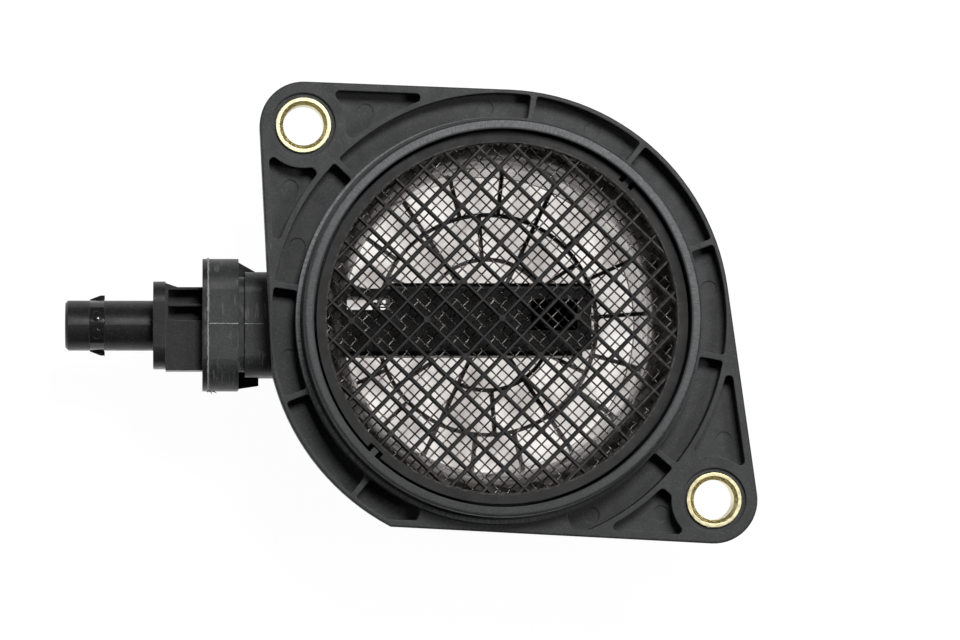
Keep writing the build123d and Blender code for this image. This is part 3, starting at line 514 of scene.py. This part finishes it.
# ---- Camera, light and floor -------------------------------------------------------------------
def place_camera():
    """Camera almost straight over the inlet, a little towards the connector."""
    place, target = Vector((-0.0589, -0.0262, 1.2625)), Vector((-0.0041, -0.0003, 0.064))
    back = (place - target).normalized()
    right = Vector((0, 1, 0)).cross(back).normalized()
    lens = bpy.data.cameras.new("camera")
    lens.lens, lens.sensor_width, lens.sensor_fit = 234.0, 36.0, "HORIZONTAL"
    lens.clip_start, lens.clip_end = 0.05, 20.0
    camera = bpy.data.objects.new("camera", lens)
    bpy.context.scene.collection.objects.link(camera)
    turn = Matrix((right, back.cross(right), back)).transposed().to_4x4()
    camera.matrix_world = Matrix.Translation(place) @ turn
    bpy.context.scene.camera = camera


def area_light(name, place, target, size, watts):
    """Round white lamp turned towards a point."""
    data = bpy.data.lights.new(name, "AREA")
    data.shape, data.size, data.energy = "DISK", size, watts
    lamp = bpy.data.objects.new(name, data)
    bpy.context.scene.collection.objects.link(lamp)
    lamp.location = place
    lamp.rotation_euler = (Vector(place) - Vector(target)).to_track_quat("Z", "Y").to_euler()


def shade_in_duct(tree):
    """Colour of the sheet: white, but mottled warm grey where the duct stands over it and shades it."""
    place = tree.nodes.new("ShaderNodeTexCoord").outputs["Object"]
    length = tree.nodes.new("ShaderNodeVectorMath")
    length.operation = "LENGTH"
    tree.links.new(place, length.inputs[0])
    under = tree.nodes.new("ShaderNodeMath")
    under.operation = "LESS_THAN"
    tree.links.new(length.outputs["Value"], under.inputs[0])
    under.inputs[1].default_value = DUCT_SHADE_R
    patches = tree.nodes.new("ShaderNodeTexNoise")
    tree.links.new(place, patches.inputs["Vector"])
    patches.inputs["Scale"].default_value = 110.0
    patches.inputs["Detail"].default_value = 3.0
    spread_out = tree.nodes.new("ShaderNodeMapRange")
    tree.links.new(patches.outputs["Fac"], spread_out.inputs[0])
    for socket, value in zip(spread_out.inputs[1:5], (0.36, 0.62, 0.0, 1.0)):
        socket.default_value = value
    blends = []
    for _ in range(2):
        blends.append(tree.nodes.new("ShaderNodeMix"))
        blends[-1].data_type = "RGBA"
    tree.links.new(spread_out.outputs[0], blends[0].inputs["Factor"])
    blends[0].inputs[6].default_value = (0.46, 0.425, 0.41, 1.0)
    blends[0].inputs[7].default_value = (0.96, 0.935, 0.90, 1.0)
    tree.links.new(under.outputs[0], blends[1].inputs["Factor"])
    blends[1].inputs[6].default_value = (1.0, 1.0, 1.0, 1.0)
    tree.links.new(blends[0].outputs[2], blends[1].inputs[7])
    return blends[1].outputs[2]


def white_to_eye(tree, plain_shader, eye_strength, colour):
    """Shader that is plain for light but adds a pale glow for what the eye and reflections see."""
    path = tree.nodes.new("ShaderNodeLightPath")
    seen = tree.nodes.new("ShaderNodeMath")
    seen.operation, seen.use_clamp = "ADD", True
    tree.links.new(path.outputs["Is Camera Ray"], seen.inputs[0])
    tree.links.new(path.outputs["Is Transmission Ray"], seen.inputs[1])
    both = tree.nodes.new("ShaderNodeMath")
    both.operation, both.use_clamp = "ADD", True
    tree.links.new(seen.outputs[0], both.inputs[0])
    tree.links.new(path.outputs["Is Glossy Ray"], both.inputs[1])
    strength = tree.nodes.new("ShaderNodeMath")
    strength.operation = "MULTIPLY"
    tree.links.new(both.outputs[0], strength.inputs[0])
    strength.inputs[1].default_value = eye_strength
    glow = tree.nodes.new("ShaderNodeEmission")
    tree.links.new(strength.outputs[0], glow.inputs["Strength"])
    tree.links.new(colour, glow.inputs["Color"])
    total = tree.nodes.new("ShaderNodeAddShader")
    tree.links.new(plain_shader, total.inputs[0])
    tree.links.new(glow.outputs[0], total.inputs[1])
    return total.outputs[0]


def floor():
    """Pale sheet under the object, white to the eye with a faint shadow left in it."""
    mesh = bpy.data.meshes.new("floor")
    corners = [(side * FLOOR_HALF, end * FLOOR_HALF, 0) for side, end in ((-1, -1), (1, -1), (1, 1), (-1, 1))]
    mesh.from_pydata(corners, [], [(0, 1, 2, 3)])
    made = bpy.data.objects.new("floor", mesh)
    bpy.context.scene.collection.objects.link(made)
    made.location.z = -FLOOR_DROP
    paper = bpy.data.materials.new("floor_paper")
    paper.use_nodes = True
    tree = paper.node_tree
    shader = tree.nodes["Principled BSDF"]
    shader.inputs["Base Color"].default_value = (*grey(FLOOR_SHADE), 1.0)
    shader.inputs["Roughness"].default_value = 0.9
    shader.inputs["Specular IOR Level"].default_value = 0.0
    out = tree.nodes["Material Output"]
    seen = white_to_eye(tree, shader.outputs[0], FLOOR_WHITE, shade_in_duct(tree))
    tree.links.new(seen, out.inputs["Surface"])
    mesh.materials.append(paper)


def room():
    """White surround, a little dimmer overhead and much dimmer on the -Y side."""
    world = bpy.data.worlds.new("room")
    world.use_nodes = True
    tree = world.node_tree
    split = tree.nodes.new("ShaderNodeSeparateXYZ")
    tree.links.new(tree.nodes.new("ShaderNodeTexCoord").outputs["Generated"], split.inputs[0])
    fade = tree.nodes.new("ShaderNodeMapRange")
    tree.links.new(split.outputs["Z"], fade.inputs[0])
    for socket, value in zip(fade.inputs[1:5], (0.35, 0.98, HORIZON, ZENITH)):
        socket.default_value = value
    side = tree.nodes.new("ShaderNodeMapRange")
    tree.links.new(split.outputs["Y"], side.inputs[0])
    for socket, value in zip(side.inputs[1:5], (-0.9, 0.25, FAR_SIDE, 1.0)):
        socket.default_value = value
    product = tree.nodes.new("ShaderNodeMath")
    product.operation = "MULTIPLY"
    tree.links.new(fade.outputs[0], product.inputs[0])
    tree.links.new(side.outputs[0], product.inputs[1])
    tree.links.new(product.outputs[0], tree.nodes["Background"].inputs["Strength"])
    bpy.context.scene.world = world


HORIZON, ZENITH, FAR_SIDE = 0.74, 0.70, 0.30
place_camera()
floor()
room()
area_light("key_bank", place=(0.14, 0.42, 1.18), target=(0, 0, 0.06), size=0.30, watts=6.5)
area_light("right_bank", place=(0.52, 0.02, 1.05), target=(0, 0, 0.06), size=0.25, watts=2.0)
area_light("left_bank", place=(-0.80, 0.30, 0.50), target=(0, 0, 0.05), size=0.4, watts=1.2)
bpy.context.scene.view_settings.view_transform = "Standard"
